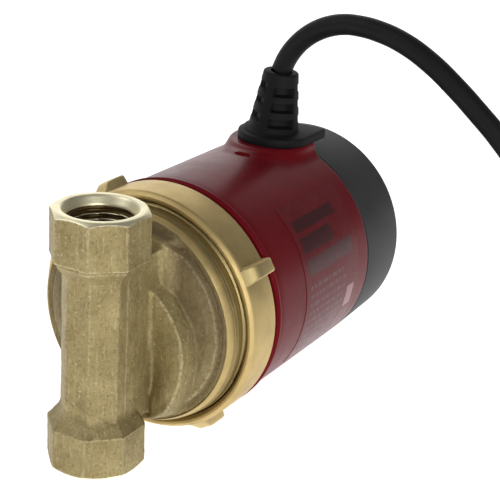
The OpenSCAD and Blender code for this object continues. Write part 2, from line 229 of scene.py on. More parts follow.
def finish_piece(mesh, name, body, materials, replaces=(), crease=38):
    """Cleans a mesh, shades it and hangs it on its body."""
    work = bmesh.new()
    work.from_mesh(mesh)
    bmesh.ops.remove_doubles(work, verts=work.verts, dist=2e-6)
    bmesh.ops.dissolve_degenerate(work, edges=work.edges, dist=1e-7)
    bmesh.ops.recalc_face_normals(work, faces=work.faces)
    work.to_mesh(mesh)
    work.free()
    for material in materials:
        mesh.materials.append(material)
    mesh.polygons.foreach_set("use_smooth", [True] * len(mesh.polygons))
    mesh.set_sharp_from_angle(angle=math.radians(crease))
    piece = bpy.data.objects.new(name, mesh)
    bpy.context.scene.collection.objects.link(piece)
    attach(piece, body)
    if replaces:
        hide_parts(*replaces)
    return piece


def surface_nets(field, low, high, step):
    """Quads of the surface where field(points) is 0, negative inside, drawn onto it exactly."""
    axes = [np.arange(a, b + step, step) for a, b in zip(low, high)]
    points = np.stack(np.meshgrid(*axes, indexing="ij"), -1)
    value = field(points)
    # no corner of the grid lies on the surface, so no two vertices fall together
    least = 0.15 * step
    value = np.where(value < 0, np.minimum(value, -least), np.maximum(value, least))
    cells = tuple(n - 1 for n in value.shape)
    total, hits = np.zeros(cells + (3,)), np.zeros(cells)
    crossings = []
    for axis in range(3):
        first = [slice(None)] * 3
        second = [slice(None)] * 3
        first[axis], second[axis] = slice(0, -1), slice(1, None)
        a, b = value[tuple(first)], value[tuple(second)]
        crossed = (a < 0) != (b < 0)
        share = np.where(crossed, a / np.where(crossed, a - b, 1), 0)
        place = points[tuple(first)] + share[..., None] * step * np.eye(3)[axis]
        place = place * crossed[..., None]
        others = [k for k in range(3) if k != axis]
        for u in (0, 1):
            for v in (0, 1):
                part = [slice(None)] * 3
                part[others[0]] = slice(u, cells[others[0]] + u)
                part[others[1]] = slice(v, cells[others[1]] + v)
                total += place[tuple(part)]
                hits += crossed[tuple(part)]
        crossings.append((axis, others, crossed, a < 0))
    used = hits > 0
    index = np.full(cells, -1)
    index[used] = np.arange(used.sum())
    verts = total[used] / hits[used][:, None]
    faces = []
    for axis, others, crossed, inside in crossings:
        where = np.argwhere(crossed)
        for k in others:
            where = where[(where[:, k] > 0) & (where[:, k] < cells[k])]
        corner = []
        for u, v in ((1, 1), (0, 1), (0, 0), (1, 0)):
            shifted = where.copy()
            shifted[:, others[0]] -= u
            shifted[:, others[1]] -= v
            corner.append(index[tuple(shifted.T)])
        quads = np.stack(corner, -1)
        flip = inside[tuple(where.T)] ^ (axis == 1)
        quads[~flip] = quads[~flip][:, ::-1]
        faces.append(quads)
    reach = 0.05
    for _ in range(3):
        here = field(verts)
        slope = np.stack([field(verts + d) - field(verts - d) for d in reach * np.eye(3)], -1)
        slope /= 2 * reach
        push = here / np.maximum((slope ** 2).sum(-1), 0.25)
        verts -= np.clip(push, -step / 3, step / 3)[:, None] * slope
    return verts, np.concatenate(faces)


# ---------------------------------------------------------------- materials

class Look:
    """A material built round one Principled shader."""

    def __init__(self, name, **values):
        self.material = bpy.data.materials.new(name)
        self.material.use_nodes = True
        self.nodes, self.links = self.material.node_tree.nodes, self.material.node_tree.links
        self.shader = self.nodes["Principled BSDF"]
        self.place = self.node("ShaderNodeTexCoord").outputs["Object"]
        for key, value in values.items():
            self.shader.inputs[key.replace("_", " ")].default_value = value

    def node(self, kind, inputs=None, **settings):
        made = self.nodes.new(kind)
        for key, value in settings.items():
            setattr(made, key, value)
        for key, value in (inputs or {}).items():
            if isinstance(value, bpy.types.NodeSocket):
                self.links.new(value, made.inputs[key])
            else:
                made.inputs[key].default_value = value
        return made

    def noise(self, size, detail=3, rough=0.55, place=None):
        """Noise whose features are about size millimetres across."""
        return self.node("ShaderNodeTexNoise",
                         {"Vector": place or self.place, "Scale": 1 / (size * MM),
                          "Detail": detail, "Roughness": rough}).outputs["Fac"]

    def math(self, operation, a, b=0.0):
        return self.node("ShaderNodeMath", {0: a, 1: b}, operation=operation).outputs[0]

    def remap(self, value, low, high, to_low, to_high):
        return self.node("ShaderNodeMapRange",
                         {"Value": value, "From Min": low, "From Max": high,
                          "To Min": to_low, "To Max": to_high}).outputs["Result"]

    def ramp(self, value, stops):
        made = self.node("ShaderNodeValToRGB", {"Fac": value})
        elements = made.color_ramp.elements
        while len(elements) < len(stops):
            elements.new(0.5)
        for element, (position, colour) in zip(elements, stops):
            element.position, element.color = position, (*colour, 1)
        return made.outputs["Color"]

    def mix(self, factor, a, b):
        made = self.node("ShaderNodeMix", data_type="RGBA")
        for number, value in ((0, factor), (6, a), (7, b)):
            if isinstance(value, bpy.types.NodeSocket):
                self.links.new(value, made.inputs[number])
            else:
                made.inputs[number].default_value = (*value, 1) if number else value
        return made.outputs[2]

    def bump(self, height, distance, strength=1.0):
        """Adds height, 0 to 1 over distance millimetres, to the shading."""
        inputs = {"Height": height, "Distance": distance * MM, "Strength": strength}
        linked = self.shader.inputs["Normal"].links
        if linked:
            inputs["Normal"] = linked[0].from_socket
        self.to("Normal", self.node("ShaderNodeBump", inputs).outputs["Normal"])

    def to(self, socket, value):
        self.links.new(value, self.shader.inputs[socket])

    def turned_place(self):
        """Coordinates (radius, y, angle) round the motor axis, for lathe marks."""
        apart = self.node("ShaderNodeSeparateXYZ", {"Vector": self.place}).outputs
        high = self.math("SUBTRACT", apart["Z"], AXIS_Z * MM)
        radius = self.math("SQRT", self.math("ADD", self.math("MULTIPLY", apart["X"], apart["X"]),
                                             self.math("MULTIPLY", high, high)))
        angle = self.math("MULTIPLY", self.math("ARCTAN2", high, apart["X"]), 0.002)
        return self.node("ShaderNodeCombineXYZ",
                         {"X": radius, "Y": apart["Y"], "Z": angle}).outputs["Vector"]


def cast_brass():
    """Dull sand-cast brass: olive tan, blotchy and drawn upright, with pale edges that are partly
    wear and partly painted highlight, and painted shade in its hollows and on the bowl's floor.
    """
    look = Look("cast_brass", Metallic=0.5, Specular_IOR_Level=0.4)
    blotch = look.noise(9, 4, 0.6)
    grain = look.noise(0.9, 4, 0.65)
    drawn = look.node("ShaderNodeMapping", {"Vector": look.place, "Scale": (1, 1, 0.14)})
    streak = look.noise(0.8, 3, 0.6, drawn.outputs["Vector"])
    colour = look.ramp(blotch, [(0.3, (0.25, 0.193, 0.08)), (0.5, (0.325, 0.257, 0.112)),
                                (0.72, (0.41, 0.335, 0.16))])
    dark = look.remap(grain, 0.34, 0.5, 1, 0)
    colour = look.mix(look.math("MULTIPLY", dark, 0.45), colour, (0.15, 0.105, 0.042))
    scraped = look.remap(streak, 0.56, 0.68, 0, 0.4)
    colour = look.mix(scraped, colour, (0.55, 0.46, 0.27))
    nicks = look.remap(look.noise(1.1, 3, 0.7), 0.62, 0.68, 0, 0.6)
    colour = look.mix(nicks, colour, (0.62, 0.53, 0.33))
    form = look.node("ShaderNodeAttribute", attribute_name="form").outputs["Fac"]
    # painted shade: the casting is darkened in its hollows, where the form attribute falls below 0
    painted_hollow_shade = look.remap(form, -0.08, -0.012, 0.5, 0)
    colour = look.mix(painted_hollow_shade, colour, (0.13, 0.09, 0.035))
    # pale ridges and edges: partly real wear, partly painted highlight
    paler = look.math("MULTIPLY", look.remap(form, 0.02, 0.1, 0, 0.6),
                     look.remap(grain, 0.42, 0.56, 0.12, 1))
    colour = look.mix(paler, colour, (0.66, 0.57, 0.35))
    # painted shade, dark brown, on the bowl's floor, most of all high up
    apart = look.node("ShaderNodeSeparateXYZ", {"Vector": look.place}).outputs
    painted_bowl_shade = look.math("MULTIPLY", look.remap(apart["Y"], 0.0148, 0.0165, 0, 0.65),
                     look.remap(apart["Z"], 0.015, 0.05, 0.3, 1))
    colour = look.mix(painted_bowl_shade, colour, (0.12, 0.08, 0.04))
    look.to("Base Color", colour)
    look.to("Roughness", look.remap(grain, 0.3, 0.7, 0.64, 0.46))
    look.bump(look.noise(3.5, 3, 0.5), 0.2, 0.5)
    look.bump(streak, 0.08, 0.6)
    look.bump(grain, 0.14, 0.6)
    return look.material


def machined_brass(name, roughness, colour, mark=1.0):
    """Turned brass: fine circular tool marks and a little staining."""
    look = Look(name, Metallic=1.0)
    place = look.turned_place()
    marks = look.noise(0.16, 2, 0.6, place)
    stain = look.noise(12, 3, 0.6)
    dark = tuple(c * 0.8 for c in colour)
    light = tuple(min(1, c * 1.1) for c in colour)
    look.to("Base Color", look.ramp(stain, [(0.3, dark), (0.55, colour), (0.8, light)]))
    look.to("Roughness", look.remap(marks, 0.2, 0.8, roughness * 0.8, roughness * 1.25))
    look.bump(marks, 0.02 * mark, 0.6)
    look.bump(look.noise(1.2, 3, 0.6), 0.02, 0.5)
    return look.material


def painted_red():
    look = Look("red_paint", Specular_IOR_Level=0.17, Specular_Tint=(1, 0.12, 0.14, 1))
    tone = look.noise(18, 3, 0.5)
    look.to("Base Color", look.ramp(tone, [(0.3, (0.12, 0.0055, 0.009)),
                                           (0.7, (0.145, 0.007, 0.011))]))
    look.to("Roughness", look.remap(look.noise(6, 3, 0.6), 0.3, 0.7, 0.3, 0.37))
    look.bump(look.noise(0.7, 2, 0.5), 0.012, 0.5)
    return look.material


def moulded(name, colour, roughness, grain=0.25, depth=0.02, dust=0.3):
    """Spark-textured moulded plastic or rubber."""
    look = Look(name, Specular_IOR_Level=0.2)
    tone = look.noise(14, 3, 0.5)
    paler = tuple(c * (1 + dust) + 0.001 for c in colour)
    look.to("Base Color", look.ramp(tone, [(0.35, colour), (0.75, paler)]))
    speck = look.noise(grain, 2, 0.6)
    look.to("Roughness", look.remap(speck, 0.25, 0.75, roughness * 0.88, min(1, roughness * 1.12)))
    look.bump(speck, depth, 0.6)
    return look.material


def metal(name, colour, roughness, size=0.5, depth=0.02):
    look = Look(name, Metallic=1.0)
    tone = look.noise(6, 3, 0.55)
    dark = tuple(c * 0.82 for c in colour)
    look.to("Base Color", look.ramp(tone, [(0.3, dark), (0.7, colour)]))
    speck = look.noise(size, 3, 0.6)
    look.to("Roughness", look.remap(speck, 0.25, 0.75, roughness * 0.8, roughness * 1.2))
    look.bump(speck, depth, 0.5)
    return look.material


CAST = cast_brass()
PORT_FACE = machined_brass("machined_port_brass", 0.44, (0.9, 0.83, 0.58))
# painted shade: a darker copy of the machined brass for the rim's recessed faces by the nut
SHADED_RIM = machined_brass("shaded_rim_brass", 0.42, (0.36, 0.285, 0.13), 1.5)
NUT = machined_brass("machined_nut_brass", 0.5, (0.62, 0.47, 0.21))
LUG = machined_brass("lug_brass", 0.5, (0.68, 0.54, 0.26), 0.5)
# painted shade: a very dark copy of the brass for the thread roots deep in the port bores
THREAD_SHADE = machined_brass("shaded_thread_root_brass", 0.5, (0.17, 0.12, 0.05), 0.5)
RED = painted_red()
CAP_BLACK = moulded("cap_plastic", (0.026, 0.026, 0.027), 0.5, 0.3, 0.025)
RELIEF_BLACK = moulded("relief_rubber", (0.0035, 0.0037, 0.0038), 0.65, 0.4, 0.02, 0.2)
CORD_BLACK = moulded("cord_rubber", (0.005, 0.005, 0.0052), 0.55, 0.6, 0.012, 0.2)
TIE_BLACK = moulded("tie_plastic", (0.02, 0.02, 0.02), 0.35)


# ---------------------------------------------------------------- cord

# The middle of the cord from the boot's tip to the coil, as in the CAD source
CORD_ROUTE = [(1.7, 101, 103.5), (3.61, 101, 107.99), (6.27, 101, 112.09), (9.59, 101, 115.66),
              (13.91, 101, 118.85), (18.75, 101, 121.16), (23.95, 101, 122.5),
              (28.5, 100.8, 122.85), (36, 100, 122.5), (46, 99.2, 120.2), (56, 98.6, 115.6),
              (65, 98, 109.8), (74, 97.5, 103), (82.5, 97, 96), (90.49, 97.29, 87.16),
              (96.96, 97.94, 74.46), (101.9, 98.69, 53.46), (105.34, 99.35, 37.77),
              (108.27, 100, 26.32), (111.66, 100.86, 19.6), (116.46, 102.27, 13.6),
              (122.59, 104.41, 8.62), (130.41, 107.75, 4.92)]
# The middle of the cord from the coil to the plug
TAIL_ROUTE = [(201.3, 62, 9.8), (199.8, 52, 8.8), (197.3, 43, 8.9), (194.7, 34, 10),
              (193.2, 25, 11)]
CORD_D = 7.0
TURN_STEPS = 18        # points in one turn of the coil


def coil_route():
    """Turns of the put-away cord, clockwise from above, from its far side to its right."""
    centre = (COIL_LOW + COIL_HIGH) / 2
    outer = (COIL_HIGH[0] - COIL_LOW[0]) / 2 - CORD_D / 2
    inner = outer - CORD_D
    layer = [CORD_D * (n + 0.5) for n in range(3)]
    # (radius, height) that each turn keeps, and moves from near its end
    turns = [(outer, layer[0]), (inner, layer[0]), (inner, layer[1]), (inner, layer[2]),
             (outer, layer[2]), (outer, layer[1])]
    route = []
    for step in range(5 * TURN_STEPS + TURN_STEPS // 3 + 1):
        turn, part = divmod(step / TURN_STEPS, 1)
        turn = int(turn)
        here = np.array(turns[turn])
        after = np.array(turns[min(turn + 1, 5)])
        # the fifth turn lies over the outgoing stretch, then drops to the layer below
        change = smoothstep((part - 0.36) / 0.24) if turn == 4 else smoothstep((part - 0.8) / 0.2)
        radius, height = here + (after - here) * change
        angle = math.radians(120) - 2 * math.pi * (turn + part)
        route.append((centre[0] + radius * math.cos(angle),
                      centre[1] + radius * math.sin(angle), height))
    return route


def make_cord():
    """Cord as one curve: out of the boot, down to the floor, round the coil and to the plug."""
    data = bpy.data.curves.new("cord", "CURVE")
    data.dimensions = "3D"
    data.bevel_depth = CORD_D / 2 * MM
    data.bevel_resolution = 6
    data.use_fill_caps = True
    data.resolution_u = 8
    route = CORD_ROUTE + coil_route() + TAIL_ROUTE
    spline = data.splines.new("BEZIER")
    spline.bezier_points.add(len(route) - 1)
    for point, place in zip(spline.bezier_points, route):
        point.co = Vector(place) * MM
        point.handle_left_type = point.handle_right_type = "AUTO"
    data.materials.append(CORD_BLACK)
    cord = bpy.data.objects.new("cord", data)
    bpy.context.scene.collection.objects.link(cord)
    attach(cord, "pump")
    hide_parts("power_cord", "cord_coil", "cord_tail")


# ---------------------------------------------------------------- pump housing

COLLAR_HALF = 14.0
TUBE_HALF = 10.3
COLLAR_H = 13.6
CONE_END = 21.8        # from the middle of the tube, where its cones begin
WEB_HALF = 10.35
NECK_HALF = 13.6
BOWL_R = 33.3
BOWL_REAR_Y = 22.5
FLOOR_Y = 16.5
SPIGOT_R = 35.5
CHAMBER_R = 30.2
PASSAGE_R = 6.2
EYE_R = 5.9            # openings from the passage to the chamber
LOWER_EYE_DROP = 23
EDGE = 0.3             # roundness of the casting's octagonal edges
PORT_LIP = 1.3         # how far the upper port's face stands above its collar's corners
FACE_R = 13.4          # round face of a port, inside its conical chamfer
MOUTH_R = 11.5
THREAD_DEPTH = 12.0
# materials of the casting, in the order that make_housing gives them
CAST_NO, FACE_NO, SHADED_RIM_NO, SHADED_ROOT_NO, BRIGHT_NO = range(5)


def octagon(x, y, half, k):
    """Distance outside an octagon whose flats face the axes, with corners about k round."""
    x, y = np.abs(x), np.abs(y)
    square = smooth_max(x, y, k)
    diagonal = (x + y) / math.sqrt(2)
    return smooth_max(square, diagonal, k) - half


SWIRL_ANGLES = [-100, -75, -60, -53, -39, -19, -4, 8, 21, 35, 54, 64, 80]
SWIRL_RADII = [30.5, 30.5, 30.1, 29.4, 26.8, 24.0, 22.4, 21.3, 19.8, 18.9, 18.2, 17.2, 15]


def housing_field(points, rough=True):
    """Field of the casting, rough as sand leaves it or ideally smooth."""
    x, y, z = points[..., 0], points[..., 1], points[..., 2] - AXIS_Z
    end = np.abs(z)
    radius = np.hypot(x, z)
    angle = np.degrees(np.arctan2(z, x))
    # straight tube with its collars and their cones
    tube = octagon(x, y, TUBE_HALF, EDGE)
    widest = COLLAR_HALF - np.where(z > 0, 1.0, 0.1)
    cone = octagon(x, y, np.clip(TUBE_HALF + 0.78 * (end - CONE_END), 0, widest), EDGE)
    cone = np.maximum(cone * 0.8, 20 - end)
    collar = smooth_max(octagon(x, y, COLLAR_HALF, EDGE), AXIS_Z - COLLAR_H - end, 0.4)
    body = smooth_min(smooth_min(tube, cone, 1.0), collar, 0.3)
    # block behind the tube
    web = smooth_max(np.abs(x) - WEB_HALF - 0.04 * y, smooth_max(y - 20, end - 26, 1), 0.5)
    web = np.maximum(web, -y)
    body = smooth_min(body, web, 0.7)
    # bowl, with a floor that falls away to a groove under the rim
    front = np.interp(radius, [0, 27.5, 30.2, 31.2, 32.0, 33.2, 36],
                      [FLOOR_Y, FLOOR_Y + 0.1, 17.6, 19.3, 19.0, 18.9, 19.2])
    disc = smooth_max((front - y) * 0.85, radius - BOWL_R, 0.5)
    neck_front = 14.8 + 2.4 * smoothstep((30 - z) / 22)
    neck = smooth_max(smooth_max(np.abs(x) - NECK_HALF, neck_front - y, 3), radius - 31.5, 1.5)
    neck = np.where(z < 8, 10.0, neck)
    disc = smooth_min(disc, neck, 4.0)
    # swirl channel, a crescent that widens towards the lower port
    crest = np.interp(angle, SWIRL_ANGLES, SWIRL_RADII)
    at_cheek = np.interp(z, [-22.5, -18, -7, -2, 0], [14.6, 14.3, 12.8, 11.3, 11.1])
    across = smoothstep((x - 9) / np.maximum(crest * np.cos(np.radians(angle)) - 11, 4))
    swirl_front = at_cheek + (10.9 - at_cheek) * across
    swirl = smooth_max((swirl_front - y) * 0.8, (radius - crest - 0.3 * (y - 11)) * 0.85, 0.5)
    swirl = np.maximum(swirl, -x + 2)
    swirl = np.where((angle > 82) | (angle < -102), 10.0, swirl)
    disc = smooth_min(disc, swirl, 0.8)
    disc = np.maximum(disc, y - BOWL_REAR_Y)
    body = smooth_min(body, disc, 1.8)
    body = np.maximum(body, y - BOWL_REAR_Y)
    # machined ends, port bores and the water passages
    lip = np.where(z > 0, PORT_LIP, 0)
    face = end - AXIS_Z - lip + 0.6 * np.maximum(np.hypot(x, y) - FACE_R, 0)
    body = smooth_max(body, 0.86 * face + 0.2, 0.2)
    bore_r = np.where(end > AXIS_Z + lip - 2.6, 12.6, 11.1)
    bore = np.maximum(np.hypot(x, y) - bore_r, 26.5 - end)
    chamber = np.maximum(radius - CHAMBER_R, FLOOR_Y + 3.6 - y)
    passage = np.hypot(x, y) - PASSAGE_R
    eye = np.maximum(np.hypot(x, z) - EYE_R, -y)
    lower_eye = np.maximum(np.hypot(x, z + LOWER_EYE_DROP) - EYE_R, -y)
    for hollow in (bore, chamber, passage, eye, lower_eye):
        body = np.maximum(body, -hollow)
    if rough:
        machined = smoothstep((end - (AXIS_Z + lip - 1.0)) / 0.6)
        uneven = 0.08 * waves(points, 9.0, 3) + 0.05 * waves(points, 2.6, 5)
        body = body + uneven * (1 - machined)
    return body


def housing_form(points):
    """How the casting's surface bends: above 0 on its ridges and below 0 in its hollows."""
    steps = 0.6 * np.vstack([np.eye(3), -np.eye(3)])
    beside = sum(housing_field(points + step, False) for step in steps)
    return beside / len(steps) - housing_field(points, False)


def port_insert(mesh, top):
    """Machined face of a collar with its chamfered mouth and pipe thread, by turning round Z."""
    segments, pitch = 192, 1.814
    angle = np.arange(segments) / segments * 2 * math.pi
    x, y = np.cos(angle), np.sin(angle)
    # distance from the centre to the octagon's rounded outline
    reach = np.full(segments, COLLAR_HALF)
    for _ in range(20):
        reach -= octagon(x * reach, y * reach, COLLAR_HALF, EDGE)
    rise = PORT_LIP if top else 0.0
    one = np.ones(segments)
    edge = rise - 0.6 * (reach - FACE_R)
    rows = [(reach - 1.4, edge - 1.2), (reach - 0.12, edge - 0.3), (reach - 0.06, edge - 0.08),
            (reach - 0.25, edge + 0.12), ((FACE_R + 0.15) * one, rise - 0.09), (FACE_R * one, rise),
            ((MOUTH_R + 0.15) * one, rise), (MOUTH_R * one, rise - 0.08)]
    for t in np.linspace(0, 1, 5)[1:]:
        rows.append(((MOUTH_R - 1.7 * t) * one, rise - 0.08 + (-1.4 - rise) * t))
    for depth in np.arange(0, THREAD_DEPTH, pitch / 10):
        wave = triangle_wave((depth / pitch) - angle / (2 * math.pi))
        fade = smoothstep(depth / 1.0) * smoothstep((THREAD_DEPTH - depth) / 1.5)
        crest = 9.45 + 0.35 * (1 - smoothstep(depth / 2.0))
        cut = np.clip(wave * 1.35 - 0.1, 0, 1) * 1.05
        rows.append((crest * one + cut * fade, -1.5 - depth))
    rows += [(9.4 * one, -14.2), (12.4 * one, -14.2), (12.4 * one, -3.2 + rise),
             (reach - 1.4, -3.2 + rise)]
    grid = np.stack([np.stack([x * r, y * r, PORT_TOP + h * one], -1) for r, h in rows], 1)
    if not top:
        grid[..., 2] = PORT_TOP - grid[..., 2]
        grid[..., 0] *= -1

    # painted shade: faces deep in the bore, off the thread crests, take the dark thread-root copy
    def painted_shade_split(centres):
        depth = PORT_TOP - centres[:, 2] if top else centres[:, 2]
        deep = (depth > 1.7) & (np.hypot(centres[:, 0], centres[:, 1]) > 9.62)
        return np.where(deep, SHADED_ROOT_NO, FACE_NO)

    mesh.add_grid(grid, painted_shade_split)


def housing_rim(mesh):
    """Machined rim in front of the nut, with the spigot's fine thread behind it."""
    segments, pitch = 320, 1.5
    angle = np.arange(segments) / segments * 2 * math.pi
    one = np.ones(segments)
    rows = [(32.4 * one, 20.2), (32.75 * one, 19.1), (33.05 * one, 18.75), (33.3 * one, 18.72),
            (33.5 * one, 18.9), (34.25 * one, 20.6), (34.42 * one, 21.0), (34.42 * one, 21.5),
            (34.2 * one, 21.65), (34.2 * one, 21.9), (34.55 * one, 22.05), (34.75 * one, 22.6),
            (34.5 * one, 22.7), (34.5 * one, 22.85), (34.85 * one, 23.0), (35.25 * one, 24.8),
            (35.0 * one, 25.0), (35.0 * one, 25.2)]
    for y in np.arange(25.3, 31.0, pitch / 8):
        wave = triangle_wave((y / pitch) - angle / (2 * math.pi))
        fade = smoothstep((y - 25.3) / 0.5)
        rows.append((SPIGOT_R - 0.1 - 0.75 * np.clip(1.3 * (1 - wave), 0, 1) * fade
                     - 0.45 * (1 - fade), y))
    rows += [(35.3 * one, 33.6), (35.0 * one, 34.0), (30.2 * one, 34.0), (30.2 * one, 21.8)]
    grid = np.stack([np.stack([np.cos(angle) * r, np.full(segments, y),
                               AXIS_Z + np.sin(angle) * r], -1) for r, y in rows], 1)

    # painted shade: all but the rim's outer front ring take the darker rim copy; that ring keeps
    # the nut's brass
    def painted_shade_split(centres):
        outer = np.hypot(centres[:, 0], centres[:, 2] - AXIS_Z) > 33.45
        return np.where(outer & (centres[:, 1] < 21.6), BRIGHT_NO, SHADED_RIM_NO)

    mesh.add_grid(grid, painted_shade_split)


def make_housing():
    mesh = Mesh()
    step = 0.45
    low, high = (-34.6, -15.2, -0.9), (34.6, 23.6, 82.3)
    mesh.add(*surface_nets(housing_field, low, high, step), CAST_NO)
    for top in (True, False):
        port_insert(mesh, top)
    housing_rim(mesh)
    mesh.build("housing_casting", "pump", [CAST, PORT_FACE, SHADED_RIM, THREAD_SHADE, NUT], "cast_brass",
               ["pump_housing"], 45, housing_form)


# ---------------------------------------------------------------- union nut

NUT_R = 38.9
NUT_BORE_R = 35.8
NUT_LIP_R = 33.8       # opening of the inner lip behind the thread
LUG_ANGLES = (30, 120, 210, 300)


def make_nut():
    mesh = Mesh()
    front, rear = NUT_LOW[1], NUT_HIGH[1]
    outline = filleted([(NUT_BORE_R + 0.1, front + 1.1, 0.2), (36.8, front + 0.15, 0.25),
                        (37.7, front, 0.2), (NUT_R - 0.35, front + 1.0, 0.3),
                        (NUT_R, front + 1.7, 0.3), (NUT_R, rear - 0.7, 0.25),
                        (NUT_R - 0.6, rear, 0.2), (NUT_LIP_R, rear, 0.2),
                        (NUT_LIP_R, rear - 2.7, 0.2), (NUT_BORE_R, rear - 2.7),
                        (NUT_BORE_R, front + 1.5)], 3)
    mesh.add_grid(around(outline, 240), 0)
    for angle in LUG_ANGLES:
        nut_lug(mesh, math.radians(angle), front)
    mesh.build("union_nut_body", "nut", [NUT, LUG], "machined_brass", ["union_nut"], 32)


def nut_lug(mesh, turn, front):
    """Cast spanner lug: a ramp from the nut's front that rises to a round-topped block."""
    length = np.array([0.9, 1.0, 2.2, 3.4, 4.3, 5.2, 6.4, 8, 10, 12, 13.2, 13.75, 13.95])
    height = np.array([-0.6, -0.15, 0.55, 1.45, 2.2, 2.75, 3.0, 3.1, 3.1, 3.1, 3.1, 2.95, 2.6])
    half = np.array([2.2, 2.6, 2.8, 2.75, 2.65, 2.6, 2.55, 2.5, 2.5, 2.5, 2.5, 2.4, 2.1])
    profile = filleted([(-1, -1.4), (-1, 0.25, 0.45), (-0.86, 1, 0.25), (0.86, 1, 0.25),
                        (1, 0.25, 0.45), (1, -1.4)], 4)
    grid = []
    for along, up, wide in zip(length, height, half):
        across = profile[:, 0] * wide * (1 + 0.06 * (1 - profile[:, 1]))
        out = NUT_R + np.where(profile[:, 1] < 0, -1.0, profile[:, 1] * (up + 0.6) - 0.6)
        grid.append(np.stack([out, np.full(len(out), front + along), across], -1))
    grid = np.transpose(np.array(grid), (1, 0, 2))
    cos, sin = math.cos(turn), math.sin(turn)
    placed = np.stack([grid[..., 0] * cos - grid[..., 2] * sin, grid[..., 1],
                       AXIS_Z + grid[..., 0] * sin + grid[..., 2] * cos], -1)
    mesh.add_grid(placed, 1, wrap_columns=False)


# ---------------------------------------------------------------- motor housing

BOSS_ENTRY_Y = 101.0
BOSS_R = 14.0
CAN_FRONT_Y = 40.6     # front of the bead
PLATE_R = (RELIEF_HIGH[0] - RELIEF_LOW[0]) / 2
PLATE_X = (RELIEF_HIGH[0] + RELIEF_LOW[0]) / 2
PLATE_REAR = RELIEF_HIGH[1]


def can_field(x, y, z):
    """Outer skin of the can and its boss, relative to the motor axis."""
    can = np.hypot(x, z) - CAN_R
    behind = np.maximum(BOSS_ENTRY_Y - y, 0)
    wall = np.hypot(x, behind) - BOSS_R
    top = z - (BOSS_TOP - AXIS_Z)
    slope = smoothstep((BOSS_ENTRY_Y - y) / 21)
    boss = smooth_max(wall - 2.2 * slope, top, 1.2)
    ramp = smooth_max(np.hypot(x, behind * 0.72) - BOSS_R, top + 1.9 * slope, 1.4)
    boss = smooth_min(boss, ramp, 1.5)
    boss = np.maximum(boss, 20 - z)
    skin = smooth_min(can, boss, 3.2)
    # moulding recess low on the boss's front
    recess = np.hypot((x - 0.4) / 2.8, (y - 79.8) / 1.2) - 1
    return np.maximum(skin, -smooth_max(recess * 1.2, 36.9 - z, 0.3))


def make_can():
    """Can turned round its axis, its skin found on the field of can and boss."""
    front = CAN_FRONT_Y
    fine = np.arange(74, SEAM_Y - 0.45, 0.6)
    lengths = np.concatenate([np.arange(front + 3, 74, 3.1), fine, [SEAM_Y - 0.45]])
    angles = np.unique(np.concatenate([np.arange(0, 360, 2.0), np.arange(60, 120, 0.5)]))
    angle = np.radians(angles)[:, None]
    y = np.broadcast_to(lengths, (len(angles), len(lengths)))
    low, high = np.full(y.shape, 30.0), np.full(y.shape, 46.0)
    for _ in range(26):
        middle = (low + high) / 2
        inside = can_field(middle * np.cos(angle), y, middle * np.sin(angle)) < 0
        low, high = np.where(inside, middle, low), np.where(inside, high, middle)
    skin = np.stack([low, y], -1)
    bead = filleted([(30.5, 34.9), (35.2, 34.9, 0.2), (35.2, 36.0, 0.2), (33.4, 36.0, 0.3),
                     (33.4, front, 0.3), (38.2, front, 0.35), (39.0, front + 0.75, 0.45),
                     (39.0, front + 1.6, 0.5), (38.28, front + 2.35, 0.35)], 4)
    rear_r = skin[:, -1, 0]
    tail = []
    for inset, length in ((0.06, SEAM_Y - 0.25), (0.25, SEAM_Y - 0.08), (0.5, SEAM_Y)):
        tail.append(np.stack([rear_r - inset, np.full(len(rear_r), length)], -1))
    inner = filleted([(36.0, SEAM_Y), (36.0, 43.4, 0.5), (30.5, 43.4)], 3)
    columns = [np.broadcast_to(bead, (len(angles),) + bead.shape), skin,
               np.stack(tail, 1), np.broadcast_to(inner, (len(angles),) + inner.shape)]
    outline = np.concatenate(columns, 1)
    radius, along = outline[..., 0], outline[..., 1]
    grid = np.stack([radius * np.cos(angle), along, AXIS_Z + radius * np.sin(angle)], -1)
    mesh = Mesh().add_grid(grid, 0)
    mesh.build("motor_can", "pump", [RED], "red_paint", ["motor_housing"], 42)


def make_cap():
    mesh = Mesh()
    r = CAN_R
    outline = filleted([(35.5, 97, 0.3), (35.8, SEAM_Y + 0.1), (r - 0.5, SEAM_Y + 0.12, 0.2),
                        (r - 0.02, SEAM_Y + 0.6, 0.3), (r - 0.75, CAP_REAR_Y - 1.7, 1.4),
                        (r - 2.5, CAP_REAR_Y, 1.2), (26, CAP_REAR_Y, 0.6),
                        (25.4, CAP_REAR_Y - 0.7, 0.5), (9, CAP_REAR_Y - 0.9, 0.4),
                        (8.6, CAP_REAR_Y - 0.5, 0.3), (0, CAP_REAR_Y - 0.4),
                        (0, CAP_REAR_Y - 2.6), (32.2, CAP_REAR_Y - 2.6, 1),
                        (33.4, CAP_REAR_Y - 3.8, 1), (33.4, 97, 0.3)], 5)
    mesh.add_grid(around(outline, 200), 0)
    mesh.build("end_cap_shell", "pump", [CAP_BLACK], "cap_plastic", ["end_cap"], 40)


# ---------------------------------------------------------------- strain relief

LEAN = math.radians(4.6)
BOOT_H = 20.4


def boot_radius(angle, t):
    """Boot's radius at an angle and at t, 0 at its base and 1 at its tip."""
    base = 8.9 - 2.9 * t + 1.2 * smoothstep(1 - t / 0.08) ** 2
    # squarer low down and round at the tip
    base = base * (1 + 0.03 * np.cos(4 * angle) * (1 - t))
    cut = np.zeros(np.broadcast(angle, t).shape)
    height = t * BOOT_H
    for side in range(4):
        centre = math.radians(-45 + 90 * side)
        away = np.abs((angle - centre + math.pi) % (2 * math.pi) - math.pi)
        across = smoothstep((math.radians(34) - away) / math.radians(4))
        shift = 0 if side % 2 == 0 else 0.9
        for row in range(3):
            middle = 4.2 + 5.35 * row + shift
            along = smoothstep((1.6 - np.abs(height - middle)) / 0.4)
            cut = np.maximum(cut, across * along)
    return base - 2.1 * cut


